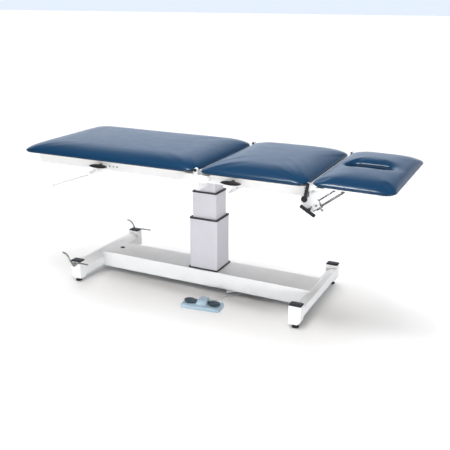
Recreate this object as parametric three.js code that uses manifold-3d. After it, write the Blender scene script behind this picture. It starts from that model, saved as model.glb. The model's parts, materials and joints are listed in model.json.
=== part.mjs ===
// Three-section height-adjustable treatment table: steel H-shaped base, telescopic lift column,
// hinged leg, back and head sections with upholstered pads, gas springs and a floor switch.
// Millimetres, +Z up, +X towards the head end. The patient's left side is -Y, the right side +Y.
// Most sizes are given from the column's axis, and the whole table is shifted once at the end, so
// that the origin lies on the floor below the middle of its length.
import * as THREE from "three";
import { mergeVertices } from "three/addons/utils/BufferGeometryUtils.js";
import Module from "manifold-3d";

const wasm = await Module();
wasm.setup();

// ---- driving dimensions ----
const GAP = 0.3; // between pieces that touch
const FOOT_END = -914;
const HEAD_END = 1006;
const PAD_HALF_WIDTH = 343;
const PAD_TOP = 742;
const PAD_CORNER = 44;
const PAD_GAP = 14; // between neighbouring pads
const BOARD_HEIGHT = 12;
const BOARD_INSET = 14;

const HINGE_X = 101; // leg and back sections share this axis
const HINGE_Z = 707;
const HEAD_HINGE_X = 640;
const HEAD_HINGE_Z = 706;
const HEAD_DROOP = (0.7 * Math.PI) / 180; // the head section rests slightly nose down

const RAIL_OUTER = 305;
const RAIL_WIDTH = 25;
const RAIL_BOTTOM = 643;
const RAIL_TOP = 690;
const HEAD_PLATE = { bottom: 689, top: 697 };
const WALL = 3; // sheet and tube wall

const SPINE_HALF = 87;
const SPINE_BOTTOM = 21;
const SPINE_TOP = 104;
const FOOT_X = { foot: -651, head: 590 }; // middle of each cross foot
const FOOT_HALF = 30;
const FOOT_REACH = 302;
const POST_DEPTH = 43;
const POST_BOTTOM = 20;
const POST_TOP = 112;
const CAP_HEIGHT = 6;

const OUTER_TUBE = { x: 78.6, y: 73, wall: 4, bottom: 24, top: 374 };
const MIDDLE_TUBE = { x: 67.7, y: 60, wall: 4, bottom: 185, top: 512 };
const INNER_TUBE = { x: 57, y: 50, wall: 4, bottom: 312, top: 640 };
const COLLAR_HEIGHT = 6;
const SCREW_RADIUS = 9;
const SLEEVE_RADIUS = 16;

const LEG_RELEASE = { x: -438, z: 666 };
const BACK_RELEASE = { x: 280, z: 667 };
const SHAFT_RADIUS = 6;
const LEG_ROD = { x: -496, z: 624 }; // cross rods that carry the gas springs' upper ends
const BACK_ROD = { x: 271, z: 618 };
const CROSS_ROD_RADIUS = 7;
const CROSS_ROD_REACH = 345;
const LEG_SPRING_FOOT = { x: -100, z: 595 };
const BACK_SPRING_FOOT = { x: 102, z: 586 };

const CLAMP = { x: 672, z: 608 };
const STRUT_TOP = { x: 763, z: 678 };
const STRUT_Y = -293;
const STRUT_SPREAD = 13; // the tube's and the rod's distance from the strut's middle line
const CLAMP_SPINDLE = { x: 645, z: 590 };

// ---- materials ----
const finish = (color, roughness, metalness = 0) =>
  new THREE.MeshStandardMaterial({ color, roughness, metalness });
const white = finish(0xe9eaec, 0.45);
const columnGrey = finish(0xd5d5db, 0.4, 0.1);
const blackPlastic = finish(0x1d1f21, 0.6);
const rubber = finish(0x2b2e30, 0.8);
const vinyl = finish(0x0b4a77, 0.35);
const plywood = finish(0xc8a878, 0.7);
const zinc = finish(0xa7aba8, 0.35, 0.9);
const steel = finish(0x8d9196, 0.3, 0.9);
const switchBlue = finish(0xa5bccb, 0.5);
const slate = finish(0x2b3e4a, 0.6);
const cableGrey = finish(0xb9bec2, 0.6);

// ---- solids ----
function solid(geometry) {
  const bare = geometry.index ? geometry.toNonIndexed() : geometry.clone();
  bare.deleteAttribute("normal");
  bare.deleteAttribute("uv");
  const merged = mergeVertices(bare, 1e-4);
  const vertProperties = merged.attributes.position.array;
  const triVerts = new Uint32Array(merged.index.array);
  return new wasm.Manifold(new wasm.Mesh({ numProp: 3, vertProperties, triVerts }));
}

const join = (...pieces) => pieces.reduce((whole, piece) => whole.add(piece));
const cut = (piece, ...tools) => tools.reduce((rest, tool) => rest.subtract(tool), piece);

function box(x0, x1, y0, y1, z0, z1) {
  const block = new THREE.BoxGeometry(x1 - x0, y1 - y0, z1 - z0);
  return solid(block.translate((x0 + x1) / 2, (y0 + y1) / 2, (z0 + z1) / 2));
}

// A round bar between two points.
function rod(from, to, radius, sides = 12, endRadius = radius) {
  const start = new THREE.Vector3(...from);
  const along = new THREE.Vector3(...to).sub(start);
  const bar = new THREE.CylinderGeometry(endRadius, radius, along.length(), sides);
  const up = new THREE.Vector3(0, 1, 0);
  bar.applyQuaternion(new THREE.Quaternion().setFromUnitVectors(up, along.clone().normalize()));
  return solid(bar.translate(...start.addScaledVector(along, 0.5).toArray()));
}

// A bar along Y, given by its axis in the XZ plane.
const crossBar = (at, y0, y1, radius, sides = 12) =>
  rod([at.x, y0, at.z], [at.x, y1, at.z], radius, sides);

const ball = (at, radius) => solid(new THREE.SphereGeometry(radius, 10, 6).translate(...at));

// An outline of [x, z] points, extruded along Y.
function sidePlate(points, y0, y1) {
  const outline = new THREE.Shape(points.map(([x, z]) => new THREE.Vector2(x, z)));
  return extrudeAcross(outline, y0, y1);
}

function extrudeAcross(outline, y0, y1, curveSegments = 4) {
  const depth = y1 - y0;
  const slab = new THREE.ExtrudeGeometry(outline, { depth, bevelEnabled: false, curveSegments });
  return solid(slab.rotateX(Math.PI / 2).translate(0, y1, 0));
}

function roundedRectangle(halfX, halfY, radius) {
  const outline = new THREE.Shape();
  outline.absarc(halfX - radius, halfY - radius, radius, 0, Math.PI / 2);
  outline.absarc(radius - halfX, halfY - radius, radius, Math.PI / 2, Math.PI);
  outline.absarc(radius - halfX, radius - halfY, radius, Math.PI, 1.5 * Math.PI);
  outline.absarc(halfX - radius, radius - halfY, radius, 1.5 * Math.PI, 2 * Math.PI);
  return outline;
}

// A rounded block standing on z0, with its middle at x, y.
function roundedBlock(halfX, halfY, radius, z0, z1, x = 0, y = 0, curveSegments = 2) {
  const outline = roundedRectangle(halfX, halfY, radius);
  const depth = z1 - z0;
  const block = new THREE.ExtrudeGeometry(outline, { depth, bevelEnabled: false, curveSegments });
  return solid(block.translate(x, y, z0));
}

// A capsule outline in the XZ plane: the shape of a lug between two pivots.
function lug(a, b, radius, y0, y1) {
  const angle = Math.atan2(b.z - a.z, b.x - a.x);
  const outline = new THREE.Shape();
  outline.absarc(a.x, a.z, radius, angle + Math.PI / 2, angle + 1.5 * Math.PI);
  outline.absarc(b.x, b.z, radius, angle - Math.PI / 2, angle + Math.PI / 2);
  return extrudeAcross(outline, y0, y1);
}

// The same piece on both sides of the table.
const bothSides = (make) => join(make(-1), make(1));
const span = (side, inner, outer) => (side < 0 ? [-outer, -inner] : [inner, outer]);

// ---- scene graph ----
const table = new THREE.Group();

function add(name, shape, material, group = table) {
  const { vertProperties, triVerts, numProp } = shape.getMesh();
  const points = [];
  for (let i = 0; i < vertProperties.length; i += numProp) {
    points.push(vertProperties[i], vertProperties[i + 1], vertProperties[i + 2]);
  }
  const geometry = new THREE.BufferGeometry();
  geometry.setAttribute("position", new THREE.Float32BufferAttribute(points, 3));
  geometry.setIndex([...triVerts]);
  const mesh = new THREE.Mesh(geometry, material);
  mesh.name = name;
  group.add(mesh);
}

// ---- base ----
// A cross foot's section: a flat top along the outer edge, sloping down to the inner edge,
// and a chamfer under the outer edge. out is +1 where the outer side faces +X.
function footSection(middle, out, inset, bottom, length) {
  const inner = middle - out * (FOOT_HALF - inset);
  const outer = middle + out * (FOOT_HALF - inset);
  const points = [
    [inner, bottom],
    [outer - out * 20, bottom],
    [outer, 50],
    [outer, 95 - inset],
    [middle, 95 - inset],
    [inner, 72 - inset],
  ];
  return sidePlate(out > 0 ? points : points.reverse(), -length, length);
}

function post(x, side, out) {
  const [y0, y1] = span(side, FOOT_REACH - POST_DEPTH, FOOT_REACH);
  const chamfer = 16;
  const points = [
    [x - out * FOOT_HALF, POST_BOTTOM],
    [x + out * (FOOT_HALF - chamfer), POST_BOTTOM],
    [x + out * FOOT_HALF, POST_BOTTOM + chamfer],
    [x + out * FOOT_HALF, POST_TOP],
    [x - out * FOOT_HALF, POST_TOP],
  ];
  return sidePlate(out > 0 ? points : points.reverse(), y0, y1);
}

function addBase() {
  let frame = box(FOOT_X.foot, FOOT_X.head, -SPINE_HALF, SPINE_HALF, SPINE_BOTTOM, SPINE_TOP);
  const hollows = [];
  const spineInner = SPINE_HALF - WALL;
  hollows.push(
    box(FOOT_X.foot + 36, FOOT_X.head - 36, -spineInner, spineInner, 10, SPINE_TOP - WALL),
  );
  for (const [end, x] of Object.entries(FOOT_X)) {
    const out = end === "head" ? 1 : -1;
    frame = frame.add(footSection(x, out, 0, 32, FOOT_REACH - 1));
    hollows.push(footSection(x, out, WALL, 10, FOOT_REACH - POST_DEPTH - 1));
    for (const side of [-1, 1]) {
      frame = frame.add(post(x, side, out));
      const middle = side * (FOOT_REACH - POST_DEPTH / 2);
      const deep = POST_DEPTH / 2 - WALL;
      hollows.push(
        box(x - 27, x + 27, middle - deep, middle + deep, POST_BOTTOM + 18, POST_TOP + 5),
        rod([x, middle, 10], [x, middle, 60], 5.4, 12),
      );
    }
  }
  frame = cut(frame, ...hollows);
  // Ribs either side of the column hold its outer tube.
  for (const x of [-84, 79]) {
    frame = frame.add(box(x, x + 5, -spineInner - 1, spineInner + 1, 24, SPINE_TOP - 1));
  }
  const openings = [
    roundedBlock(OUTER_TUBE.x + GAP, OUTER_TUBE.y + GAP, 8, 10, SPINE_TOP + 5),
    rod([-95, 0, 47], [-60, 0, 47], 13, 12),
    rod([-559, 10, 90], [-559, 10, 110], 11, 12),
  ];
  add("base_frame", cut(frame, ...openings), white);

  for (const [end, x] of Object.entries(FOOT_X)) {
    for (const side of [-1, 1]) {
      const hand = side < 0 ? "left" : "right";
      const y = side * (FOOT_REACH - POST_DEPTH / 2);
      const head = roundedBlock(31, 22.5, 4, POST_TOP + GAP, POST_TOP + CAP_HEIGHT, x, y);
      const plug = roundedBlock(26, 17.5, 3, POST_TOP - 14, POST_TOP + 1, x, y);
      add(`post_cap_${end}_${hand}`, head.add(plug), rubber);
      const pad = solid(
        new THREE.LatheGeometry(
          [
            [0, 0],
            [17, 0],
            [17, 6],
            [8, 11],
            [8, 19.5],
            [5, 19.5],
            [5, 36],
            [0, 36],
          ].map(([r, z]) => new THREE.Vector2(r, z)),
          12,
        )
          .rotateX(Math.PI / 2)
          .translate(x, y, 0),
      );
      add(`levelling_foot_${end}_${hand}`, pad, rubber);
    }
  }

  const plugDisc = rod([-559, 10, SPINE_TOP + GAP], [-559, 10, SPINE_TOP + 2.5], 13, 12);
  const plugStem = rod([-559, 10, SPINE_TOP - 8], [-559, 10, SPINE_TOP + 1], 10, 12);
  add("spine_plug", plugDisc.add(plugStem), blackPlastic);
}

// ---- lift column ----
function columnTube({ x, y, wall, bottom, top }, radius) {
  const shell = roundedBlock(x, y, radius, bottom, top);
  return shell.subtract(roundedBlock(x - wall, y - wall, radius - 3, bottom - 1, top + 1));
}

// A plastic collar caps the tube's rim, and its sleeve guides the next tube.
function collar(tube, next) {
  const rim = roundedBlock(tube.x + 2, tube.y + 2, 9, tube.top + GAP, tube.top + COLLAR_HEIGHT);
  const inside = tube.wall + GAP;
  const sleeve = roundedBlock(tube.x - inside, tube.y - inside, 5, tube.top - 40, tube.top + 1);
  return cut(
    rim.add(sleeve),
    roundedBlock(next.x + 0.5, next.y + 0.5, 8, tube.top - 41, tube.top + COLLAR_HEIGHT + 1),
  );
}

function addFixedColumn() {
  const trim = cut(
    roundedBlock(85, 84, 8, SPINE_TOP + GAP, SPINE_TOP + 5),
    roundedBlock(OUTER_TUBE.x + GAP, OUTER_TUBE.y + GAP, 8, SPINE_TOP, SPINE_TOP + 6),
  );
  add("column_base_trim", trim, rubber);
  const shaftHole = rod([-95, 0, 47], [-60, 0, 47], 13, 12);
  add("column_outer_tube", columnTube(OUTER_TUBE, 8).subtract(shaftHole), columnGrey);
  add("column_outer_collar", collar(OUTER_TUBE, MIDDLE_TUBE), rubber);

  const motor = join(
    rod([-240, 0, 52], [-92, 0, 52], 27, 12),
    rod([-93, 0, 47], [-40, 0, 47], 11, 12),
    box(-45, 45, -40, 40, 28, 62),
    rod([0, 0, 61], [0, 0, 66], 20, 12),
  );
  add("lift_gear_motor", motor, steel);
  const screw = rod([0, 0, 66 + GAP], [0, 0, 300], SCREW_RADIUS, 12);
  add("lower_lift_screw", screw, steel);
}

function addMiddleColumn() {
  const plateTop = MIDDLE_TUBE.bottom + 8;
  const plate = roundedBlock(MIDDLE_TUBE.x - 1, MIDDLE_TUBE.y - 1, 6, MIDDLE_TUBE.bottom, plateTop);
  const tube = cut(
    columnTube(MIDDLE_TUBE, 8).add(plate),
    rod([0, 0, MIDDLE_TUBE.bottom - 5], [0, 0, plateTop + 5], SCREW_RADIUS + 1, 12),
  );
  add("column_middle_tube", tube, columnGrey);
  add("column_middle_collar", collar(MIDDLE_TUBE, INNER_TUBE), rubber);
  const sleeve = cut(
    join(
      rod([0, 0, plateTop + GAP], [0, 0, plateTop + 9], 28, 12),
      rod([0, 0, plateTop + GAP], [0, 0, 470], SLEEVE_RADIUS, 12),
    ),
    rod([0, 0, plateTop - 5], [0, 0, 475], SCREW_RADIUS + 0.6, 12),
  );
  add("lift_screw_sleeve", sleeve, steel);
}

// Ears of the shared hinge stand side by side outside the rails.
const EAR = { carriage: [322, 327], leg: [328, 333], back: [334, 339] };
const EAR_RADIUS = 9;
const PIN_RADIUS = 5;
const PIN_PLAY = 0.4;

function addCarriage() {
  const plateTop = INNER_TUBE.bottom + 8;
  const inner = cut(
    columnTube(INNER_TUBE, 8).add(
      roundedBlock(INNER_TUBE.x - 1, INNER_TUBE.y - 1, 6, INNER_TUBE.bottom, plateTop),
    ),
    rod([0, 0, INNER_TUBE.bottom - 5], [0, 0, plateTop + 5], SLEEVE_RADIUS + 0.6, 12),
  );
  add("column_inner_tube", inner, columnGrey);

  const deck = INNER_TUBE.top + GAP;
  const hinge = { x: HINGE_X, z: HINGE_Z };
  const ear = (side) => {
    const [y0, y1] = span(side, ...EAR.carriage);
    return lug({ x: HINGE_X, z: 625 }, hinge, EAR_RADIUS, y0, y1);
  };
  const springFork = (foot, side) => {
    const [y0, y1] = span(side, 14, 20);
    return lug(foot, { x: foot.x, z: 648 }, 10, y0, y1);
  };
  const frame = join(
    box(-110, 118, -90, 90, deck, 652),
    cut(
      box(86, 116, -327, 327, 612, RAIL_BOTTOM - GAP),
      box(89, 113, -318, 318, 611, RAIL_BOTTOM - 5),
    ),
    box(-170, -100, -200, -170, 630, RAIL_BOTTOM - GAP),
    box(-170, -100, 170, 200, 630, RAIL_BOTTOM - GAP),
    box(-125, -95, -200, 200, 630, RAIL_BOTTOM - GAP),
    bothSides(ear),
    bothSides((side) => springFork(LEG_SPRING_FOOT, side)),
    bothSides((side) => springFork(BACK_SPRING_FOOT, side)),
    crossBar(LEG_SPRING_FOOT, -20, 20, 5, 12),
    crossBar(BACK_SPRING_FOOT, -20, 20, 5, 12),
  );
  const pinHole = crossBar(hinge, -345, 345, PIN_RADIUS + PIN_PLAY);
  const springNotch = box(104, 119, -13.5, 13.5, 605, 632); // the back spring swings up here
  add("carriage_frame", cut(frame, pinHole, springNotch), white);

  for (const side of [-1, 1]) {
    const [y0, y1] = span(side, 317, 340);
    const [h0, h1] = span(side, 339.5, 343);
    const pin = crossBar(hinge, y0, y1, PIN_RADIUS).add(crossBar(hinge, h0, h1, 8));
    add(`section_hinge_pin_${side < 0 ? "left" : "right"}`, pin, blackPlastic);
  }
}

// ---- pads and boards ----
// A pad is a closed loft of rounded rectangles: a slightly tucked base, its widest outline
// low down, and a broad soft edge that runs into the flat top. [share of the height, inset]
const PAD_RINGS = [
  [0, 6],
  [0.08, 2],
  [0.2, 0],
  [0.42, 4],
  [0.62, 14],
  [0.78, 29],
  [0.91, 49],
  [1, 76],
];

function padLoft(x0, x1, bottom) {
  const corner = 4; // steps round each corner
  const points = [];
  for (const [share, inset] of PAD_RINGS) {
    const radius = PAD_CORNER - inset * 0.4;
    const halfX = (x1 - x0) / 2 - inset;
    const halfY = PAD_HALF_WIDTH - inset;
    for (let quarter = 0; quarter < 4; quarter++) {
      const sx = quarter === 0 || quarter === 3 ? 1 : -1;
      const sy = quarter < 2 ? 1 : -1;
      for (let step = 0; step <= corner; step++) {
        const angle = ((quarter + step / corner) * Math.PI) / 2;
        points.push(
          (x0 + x1) / 2 + sx * (halfX - radius) + radius * Math.cos(angle),
          sy * (halfY - radius) + radius * Math.sin(angle),
          bottom + share * (PAD_TOP - bottom),
        );
      }
    }
  }
  const ring = 4 * (corner + 1);
  const faces = [];
  for (let level = 0; level < PAD_RINGS.length - 1; level++) {
    for (let i = 0; i < ring; i++) {
      const a = level * ring + i;
      const b = level * ring + ((i + 1) % ring);
      faces.push(a, b, b + ring, a, b + ring, a + ring);
    }
  }
  const top = (PAD_RINGS.length - 1) * ring;
  for (let i = 1; i < ring - 1; i++) {
    faces.push(0, i + 1, i, top, top + i, top + i + 1);
  }
  const geometry = new THREE.BufferGeometry();
  geometry.setAttribute("position", new THREE.Float32BufferAttribute(points, 3));
  geometry.setIndex(faces);
  return solid(geometry);
}

// The board under a pad, or with grow the recess that the pad has for it.
const boardBlock = (x0, x1, bottom, grow = 0) =>
  roundedBlock(
    (x1 - x0) / 2 - BOARD_INSET + grow,
    PAD_HALF_WIDTH - BOARD_INSET + grow,
    PAD_CORNER - BOARD_INSET,
    bottom - grow * 10,
    bottom + BOARD_HEIGHT + grow,
    (x0 + x1) / 2,
    0,
    4,
  );

function addPad(name, x0, x1, bottom, group = table, opening = null) {
  let pad = padLoft(x0, x1, bottom).subtract(boardBlock(x0, x1, bottom, GAP));
  let board = boardBlock(x0, x1, bottom);
  if (opening) {
    pad = pad.subtract(opening(0));
    board = board.subtract(opening(6));
  }
  add(`${name}_board`, board, plywood, group);
  add(`${name}_cushion`, pad, vinyl, group);
}

// ---- section frames ----
const LEG_PAD = [FOOT_END, HINGE_X - PAD_GAP / 2];
const BACK_PAD = [HINGE_X + PAD_GAP / 2, HEAD_HINGE_X - PAD_GAP / 2];
const HEAD_PAD = [HEAD_HINGE_X + PAD_GAP / 2, HEAD_END];

const MEMBER_HALF = 15;
const MEMBER_BOTTOM = 662;

// Two side rails joined by cross members, which are channels open at the bottom.
function ladder(x0, x1, crossings) {
  const rails = bothSides((side) => {
    const [y0, y1] = span(side, RAIL_OUTER - RAIL_WIDTH, RAIL_OUTER);
    return box(x0, x1, y0, y1, RAIL_BOTTOM, RAIL_TOP);
  });
  return join(rails, ...crossings.map((x) => channel(x, MEMBER_BOTTOM, RAIL_TOP)));
}

function channel(x, bottom, top) {
  const reach = RAIL_OUTER - RAIL_WIDTH + 1;
  const deep = MEMBER_HALF - WALL;
  return cut(
    box(x - MEMBER_HALF, x + MEMBER_HALF, -reach, reach, bottom, top),
    box(x - deep, x + deep, 5 - reach, reach - 5, bottom - 1, top - WALL),
  );
}

// The rails and cross members are tubes, opened at the rails' ends.
function hollowRails(frame, x0, x1) {
  const hollows = [-1, 1].map((side) => {
    const [y0, y1] = span(side, RAIL_OUTER - RAIL_WIDTH + WALL, RAIL_OUTER - WALL);
    return box(x0, x1, y0, y1, RAIL_BOTTOM + WALL, RAIL_TOP - WALL);
  });
  return cut(frame, ...hollows);
}

// An ear that reaches from the rail's outer face to the shared hinge.
function hingeEar(side, layer, reach) {
  const [y0, y1] = span(side, ...layer);
  const [s0, s1] = span(side, RAIL_OUTER - 1, layer[1]);
  const away = Math.sign(reach);
  const foot = HINGE_X + away * 4;
  const far = HINGE_X + reach;
  const low = [
    [Math.min(foot, far), 652],
    [Math.max(foot, far), 652],
    [Math.max(foot, far), 686],
    [Math.min(foot, far), 686],
  ];
  const shoulder = HINGE_X + away * 28;
  return join(
    lug({ x: foot, z: 668 }, { x: HINGE_X, z: HINGE_Z }, EAR_RADIUS, y0, y1),
    sidePlate(low, y0, y1),
    box(Math.min(shoulder, far), Math.max(shoulder, far), s0, s1, 656, 682),
  );
}

// A hanger below each rail holds a cross rod.
const hangers = (at) =>
  bothSides((side) => {
    const [y0, y1] = span(side, 284, 290);
    return lug(at, { x: at.x, z: RAIL_BOTTOM + 2 }, 12, y0, y1);
  });

function addLegSection() {
  const end = HINGE_X - 8;
  const start = -827;
  const solidFrame = join(
    ladder(start, end, [start + MEMBER_HALF, -560, -300]),
    channel(-150, RAIL_BOTTOM, RAIL_TOP),
    hangers(LEG_ROD),
    bothSides((side) => hingeEar(side, EAR.leg, -62)),
  );
  const frame = cut(
    hollowRails(solidFrame, start + WALL, end + 1),
    crossBar({ x: HINGE_X, z: HINGE_Z }, -345, 345, PIN_RADIUS + PIN_PLAY),
    crossBar(LEG_RELEASE, -345, 345, SHAFT_RADIUS + PIN_PLAY, 12),
    crossBar(LEG_ROD, -345, 345, CROSS_ROD_RADIUS + PIN_PLAY, 12),
  );
  add("leg_frame", frame, white);
  addPad("leg", ...LEG_PAD, RAIL_TOP + GAP);
  add("leg_cross_rod", crossBar(LEG_ROD, -CROSS_ROD_REACH, CROSS_ROD_REACH, CROSS_ROD_RADIUS), white);
}

const HEAD_EAR = { head: [330, 335], strap: [336, 341] };
const BRACKET = [RAIL_OUTER, 311];

function addBackSection() {
  const start = HINGE_X + 8;
  const end = 620;
  const bracketTube = { x: 618, z: 631 };
  const solidFrame = join(
    ladder(start, end, [200, 420, 600]),
    hangers(BACK_ROD),
    bothSides((side) => hingeEar(side, EAR.back, 62)),
    bothSides((side) => {
      const [y0, y1] = span(side, ...BRACKET);
      const outline = [
        [604, 606],
        [650, 578],
        [669, 590],
        [688, 606],
        [682, 628],
        [668, 640],
        [641, 668],
        [634, 688],
        [604, 688],
      ];
      return sidePlate(outline, y0, y1);
    }),
    crossBar(bracketTube, -307, 307, 11),
  );
  const frame = cut(
    hollowRails(solidFrame, start - 1, end - WALL),
    crossBar({ x: HINGE_X, z: HINGE_Z }, -345, 345, PIN_RADIUS + PIN_PLAY),
    crossBar(BACK_RELEASE, -345, 345, SHAFT_RADIUS + PIN_PLAY, 12),
    crossBar(BACK_ROD, -345, 345, CROSS_ROD_RADIUS + PIN_PLAY, 12),
    crossBar(CLAMP_SPINDLE, -315, 315, 4.4, 12),
    crossBar(CLAMP, -315, -280, 5.4, 12),
  );
  add("back_frame", frame, white);
  addPad("back", ...BACK_PAD, RAIL_TOP + GAP);
  add(
    "back_cross_rod",
    crossBar(BACK_ROD, -CROSS_ROD_REACH, CROSS_ROD_REACH, CROSS_ROD_RADIUS),
    white,
  );
  add("bracket_tube_cap", crossBar(bracketTube, -319, -311 - GAP, 14, 24), blackPlastic);

  for (const side of [-1, 1]) {
    const [y0, y1] = span(side, ...HEAD_EAR.strap);
    const [b0, b1] = span(side, BRACKET[1] + GAP, HEAD_EAR.strap[1]);
    const [p0, p1] = span(side, HEAD_EAR.head[0] - 2, HEAD_EAR.strap[1] + 2);
    const pivot = { x: HEAD_HINGE_X, z: HEAD_HINGE_Z };
    const strap = join(
      lug({ x: 631, z: 650 }, pivot, 6.5, y0, y1),
      box(625, 638, b0, b1, 645, 668),
      crossBar(pivot, p0, p1, 4),
    );
    add(`head_hinge_strap_${side < 0 ? "left" : "right"}`, strap, blackPlastic);
  }
}

function addHeadSection() {
  const head = new THREE.Group();
  head.position.set(HEAD_HINGE_X, 0, HEAD_HINGE_Z);
  head.rotation.y = HEAD_DROOP;
  const inner = new THREE.Group();
  inner.position.set(-HEAD_HINGE_X, 0, -HEAD_HINGE_Z);
  head.add(inner);
  table.add(head);

  const ear = (side) => {
    const [y0, y1] = span(side, ...HEAD_EAR.head);
    const [t0, t1] = span(side, 300, HEAD_EAR.head[1]);
    const { bottom, top } = HEAD_PLATE;
    return join(
      lug({ x: HEAD_HINGE_X + 9, z: 689 }, { x: HEAD_HINGE_X, z: HEAD_HINGE_Z }, 7, y0, y1),
      sidePlate([[646, 683], [706, 683], [706, top - 2], [650, top - 2]], y0, y1),
      box(676, 706, t0, t1, bottom - 2, top - 2),
    );
  };
  const flat = (x0, x1, y0, y1) => box(x0, x1, y0, y1, HEAD_PLATE.bottom, HEAD_PLATE.top);
  // Two small plates hold the eye of the strut's yoke between them.
  const bracket = [
    [755, 673],
    [772, 673],
    [781, 691],
    [746, 691],
  ];
  const plate = join(
    bothSides((side) => flat(672, 965, ...span(side, 268, 308))),
    flat(672, 702, -269, 269),
    flat(930, 965, -269, 269),
    bothSides(ear),
    sidePlate(bracket, -306, -302),
    sidePlate(bracket, -285, -281),
  );
  const pinHole = crossBar({ x: HEAD_HINGE_X, z: HEAD_HINGE_Z }, -345, 345, 4 + PIN_PLAY, 12);
  add("head_frame", plate.subtract(pinHole), white, inner);

  // The face slot is an oblong hole through the pad and the board.
  const slot = (grow) => {
    return roundedBlock(105 + grow, 44 + grow, 43 + grow, 660, 760, 812, 0, 5);
  };
  addPad("head", ...HEAD_PAD, HEAD_PLATE.top + GAP, inner, slot);
}

// ---- releases, gas springs and the head strut ----
// A wing-shaped handle: a flat lozenge with blunt tips.
function paddle(at, side) {
  const [y0, y1] = span(side, 329, 349);
  const outline = [
    [at.x - 50, at.z],
    [at.x - 44, at.z - 4],
    [at.x - 18, at.z - 9],
    [at.x + 18, at.z - 9],
    [at.x + 44, at.z - 4],
    [at.x + 50, at.z],
    [at.x + 44, at.z + 4],
    [at.x + 18, at.z + 9],
    [at.x - 18, at.z + 9],
    [at.x - 44, at.z + 4],
  ];
  const hub = crossBar(at, ...span(side, 310, 330), 9);
  const bore = crossBar(at, ...span(side, 300, 340), SHAFT_RADIUS + GAP, 12);
  return cut(sidePlate(outline, y0, y1).add(hub), bore);
}

function addRelease(name, at, rodOf) {
  const shaft = crossBar(at, -339, 339, SHAFT_RADIUS);
  const finger = lug(at, { x: at.x, z: at.z - 30 }, 8, 22, 28);
  add(`${name}_release_shaft`, join(shaft, finger, ...rodOf), white);
  for (const side of [-1, 1]) {
    add(`${name}_release_paddle_${side < 0 ? "left" : "right"}`, paddle(at, side), blackPlastic);
  }
}

// The long release lever reaches from the shaft towards the foot end, with a ball at its end.
function leverRod() {
  const y = -200;
  const elbow = [LEG_RELEASE.x - 5, y, 629];
  const tip = [-842, y, 485];
  return [
    rod([LEG_RELEASE.x, y, LEG_RELEASE.z], elbow, 5, 10),
    ball(elbow, 5.2),
    rod(elbow, tip, 4.6, 10),
    ball(tip, 8),
  ];
}

// A lockable gas spring from its foot on the carriage to a cross rod. The rod's end stops
// short of the cross rod's axis, where the real one has its release head.
function addGasSpring(name, foot, top, bodyLength, side) {
  const along = new THREE.Vector2(top.x - foot.x, top.z - foot.z);
  const length = along.length();
  along.normalize();
  const point = (distance) => [foot.x + along.x * distance, 0, foot.z + along.y * distance];
  const cylinder = cut(
    join(
      rod(point(12), point(bodyLength), 12, 12),
      crossBar(foot, -10, 10, 11, 12),
      rod(point(2), point(16), 7, 12),
    ),
    crossBar(foot, -12, 12, 5.5, 12),
    rod(point(24), point(bodyLength + 5), 5.2, 12),
  );
  add(`${name}_gas_spring_cylinder`, cylinder, blackPlastic);
  const head = length - CROSS_ROD_RADIUS - side;
  const piston = join(
    rod(point(bodyLength - 75), point(head - 10), 4.6, 12),
    rod(point(head - 26), point(head), 11, 12),
  );
  add(`${name}_gas_spring_rod`, piston, steel);
}

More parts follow.
